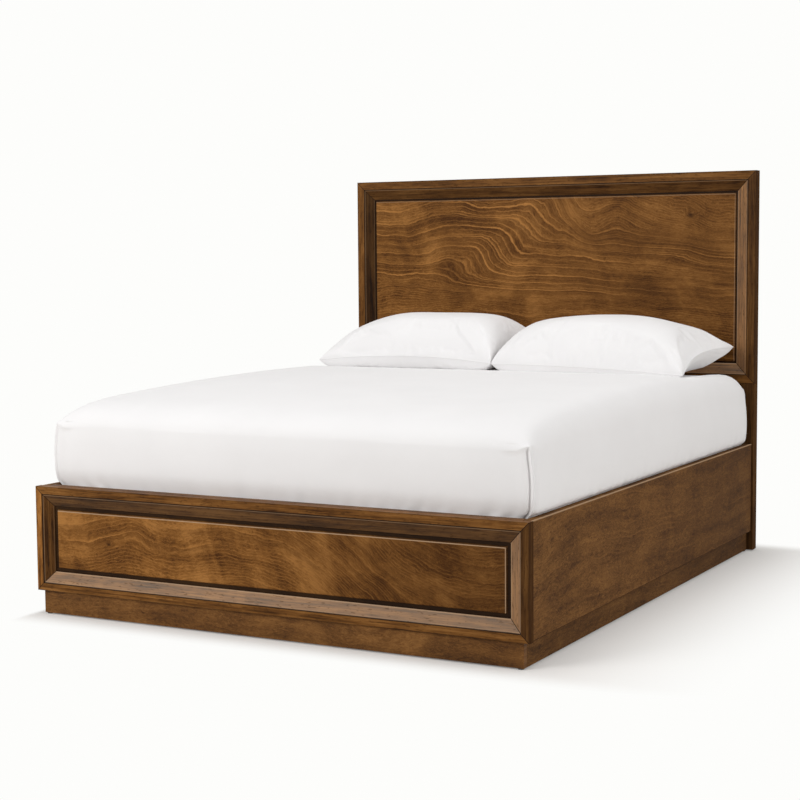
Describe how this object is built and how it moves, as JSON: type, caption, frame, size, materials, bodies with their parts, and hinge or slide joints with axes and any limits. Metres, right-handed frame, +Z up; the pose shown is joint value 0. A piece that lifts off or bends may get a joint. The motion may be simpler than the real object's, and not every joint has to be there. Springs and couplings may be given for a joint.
{
  "type": "panel bed",
  "caption": "Stained wood panel bed with bevel-moulded headboard and footboard, deep side rails on a set-back plinth, slatted base, mattress in a fitted sheet and pillows.",
  "frame": {"origin": "middle of the bounding box's bottom face, on the floor", "axes": "+Y from the foot of the bed to the headboard, +Z up, +X to the right of someone who stands at the foot and faces the headboard"},
  "size_m": [1.696, 2.11, 1.422],
  "materials": {
    "stained_wood": "satin",
    "panel_veneer": "satin",
    "frame_wood": "matte",
    "back_panel_wood": "matte",
    "slat_wood": "matte",
    "zinc_steel": "satin",
    "glide_plastic": "matte",
    "foot_plastic": "matte",
    "ticking": "matte",
    "sheet_cotton": "matte",
    "pillow_cotton": "matte"
  },
  "bodies": {
    "frame": {"beam_hanger_front": "zinc_steel", "beam_hanger_rear": "zinc_steel", "centre_beam": "frame_wood", "centre_leg_front": "frame_wood", "centre_leg_middle": "frame_wood", "centre_leg_rear": "frame_wood", "floor_glides": "glide_plastic", "footboard_core": "stained_wood", "footboard_moulding_bottom": "stained_wood", "footboard_moulding_left": "stained_wood", "footboard_moulding_right": "stained_wood", "footboard_moulding_top": "stained_wood", "footboard_panel": "panel_veneer", "headboard_back_panel": "back_panel_wood", "headboard_back_rail_bottom": "stained_wood", "headboard_back_rail_top": "stained_wood", "headboard_leg_left": "stained_wood", "headboard_leg_right": "stained_wood", "headboard_lower_rail": "stained_wood", "headboard_moulding_bottom": "stained_wood", "headboard_moulding_left": "stained_wood", "headboard_moulding_right": "stained_wood", "headboard_moulding_top": "stained_wood", "headboard_panel": "panel_veneer", "headboard_post_left": "stained_wood", "headboard_post_right": "stained_wood", "plinth_block_left": "frame_wood", "plinth_block_right": "frame_wood", "plinth_front": "stained_wood", "plinth_side_left": "stained_wood", "plinth_side_right": "stained_wood", "rail_hook_plates": "zinc_steel", "rail_strike_plates": "zinc_steel", "side_rail_left": "stained_wood", "side_rail_right": "stained_wood", "slat_01": "slat_wood", "slat_02": "slat_wood", "slat_03": "slat_wood", "slat_04": "slat_wood", "slat_05": "slat_wood", "slat_06": "slat_wood", "slat_07": "slat_wood", "slat_08": "slat_wood", "slat_09": "slat_wood", "slat_10": "slat_wood", "slat_11": "slat_wood", "slat_12": "slat_wood", "slat_13": "slat_wood", "slat_14": "slat_wood", "slat_ledger_left": "frame_wood", "slat_ledger_right": "frame_wood"},
    "mattress": {"mattress": "ticking", "fitted_sheet": "sheet_cotton"},
    "pillow_left": {"pillow_left": "pillow_cotton"},
    "pillow_right": {"pillow_right": "pillow_cotton"},
    "levelling_foot_front": {"levelling_foot_front": "foot_plastic"},
    "levelling_foot_middle": {"levelling_foot_middle": "foot_plastic"},
    "levelling_foot_rear": {"levelling_foot_rear": "foot_plastic"}
  },
  "joints": [
    {"name": "mattress_lift", "type": "slide", "parent": "frame", "child": "mattress", "axis": [0, 0, 1], "range_m": [0, 0.35]},
    {"name": "pillow_left_lift", "type": "slide", "parent": "mattress", "child": "pillow_left", "axis": [0, 0, 1], "range_m": [0, 0.3]},
    {"name": "pillow_right_lift", "type": "slide", "parent": "mattress", "child": "pillow_right", "axis": [0, 0, 1], "range_m": [0, 0.3]},
    {"name": "levelling_foot_front_adjust", "type": "slide", "parent": "frame", "child": "levelling_foot_front", "axis": [0, 0, 1], "range_m": [-0.01, 0.01]},
    {"name": "levelling_foot_middle_adjust", "type": "slide", "parent": "frame", "child": "levelling_foot_middle", "axis": [0, 0, 1], "range_m": [-0.01, 0.01]},
    {"name": "levelling_foot_rear_adjust", "type": "slide", "parent": "frame", "child": "levelling_foot_rear", "axis": [0, 0, 1], "range_m": [-0.01, 0.01]}
  ]
}
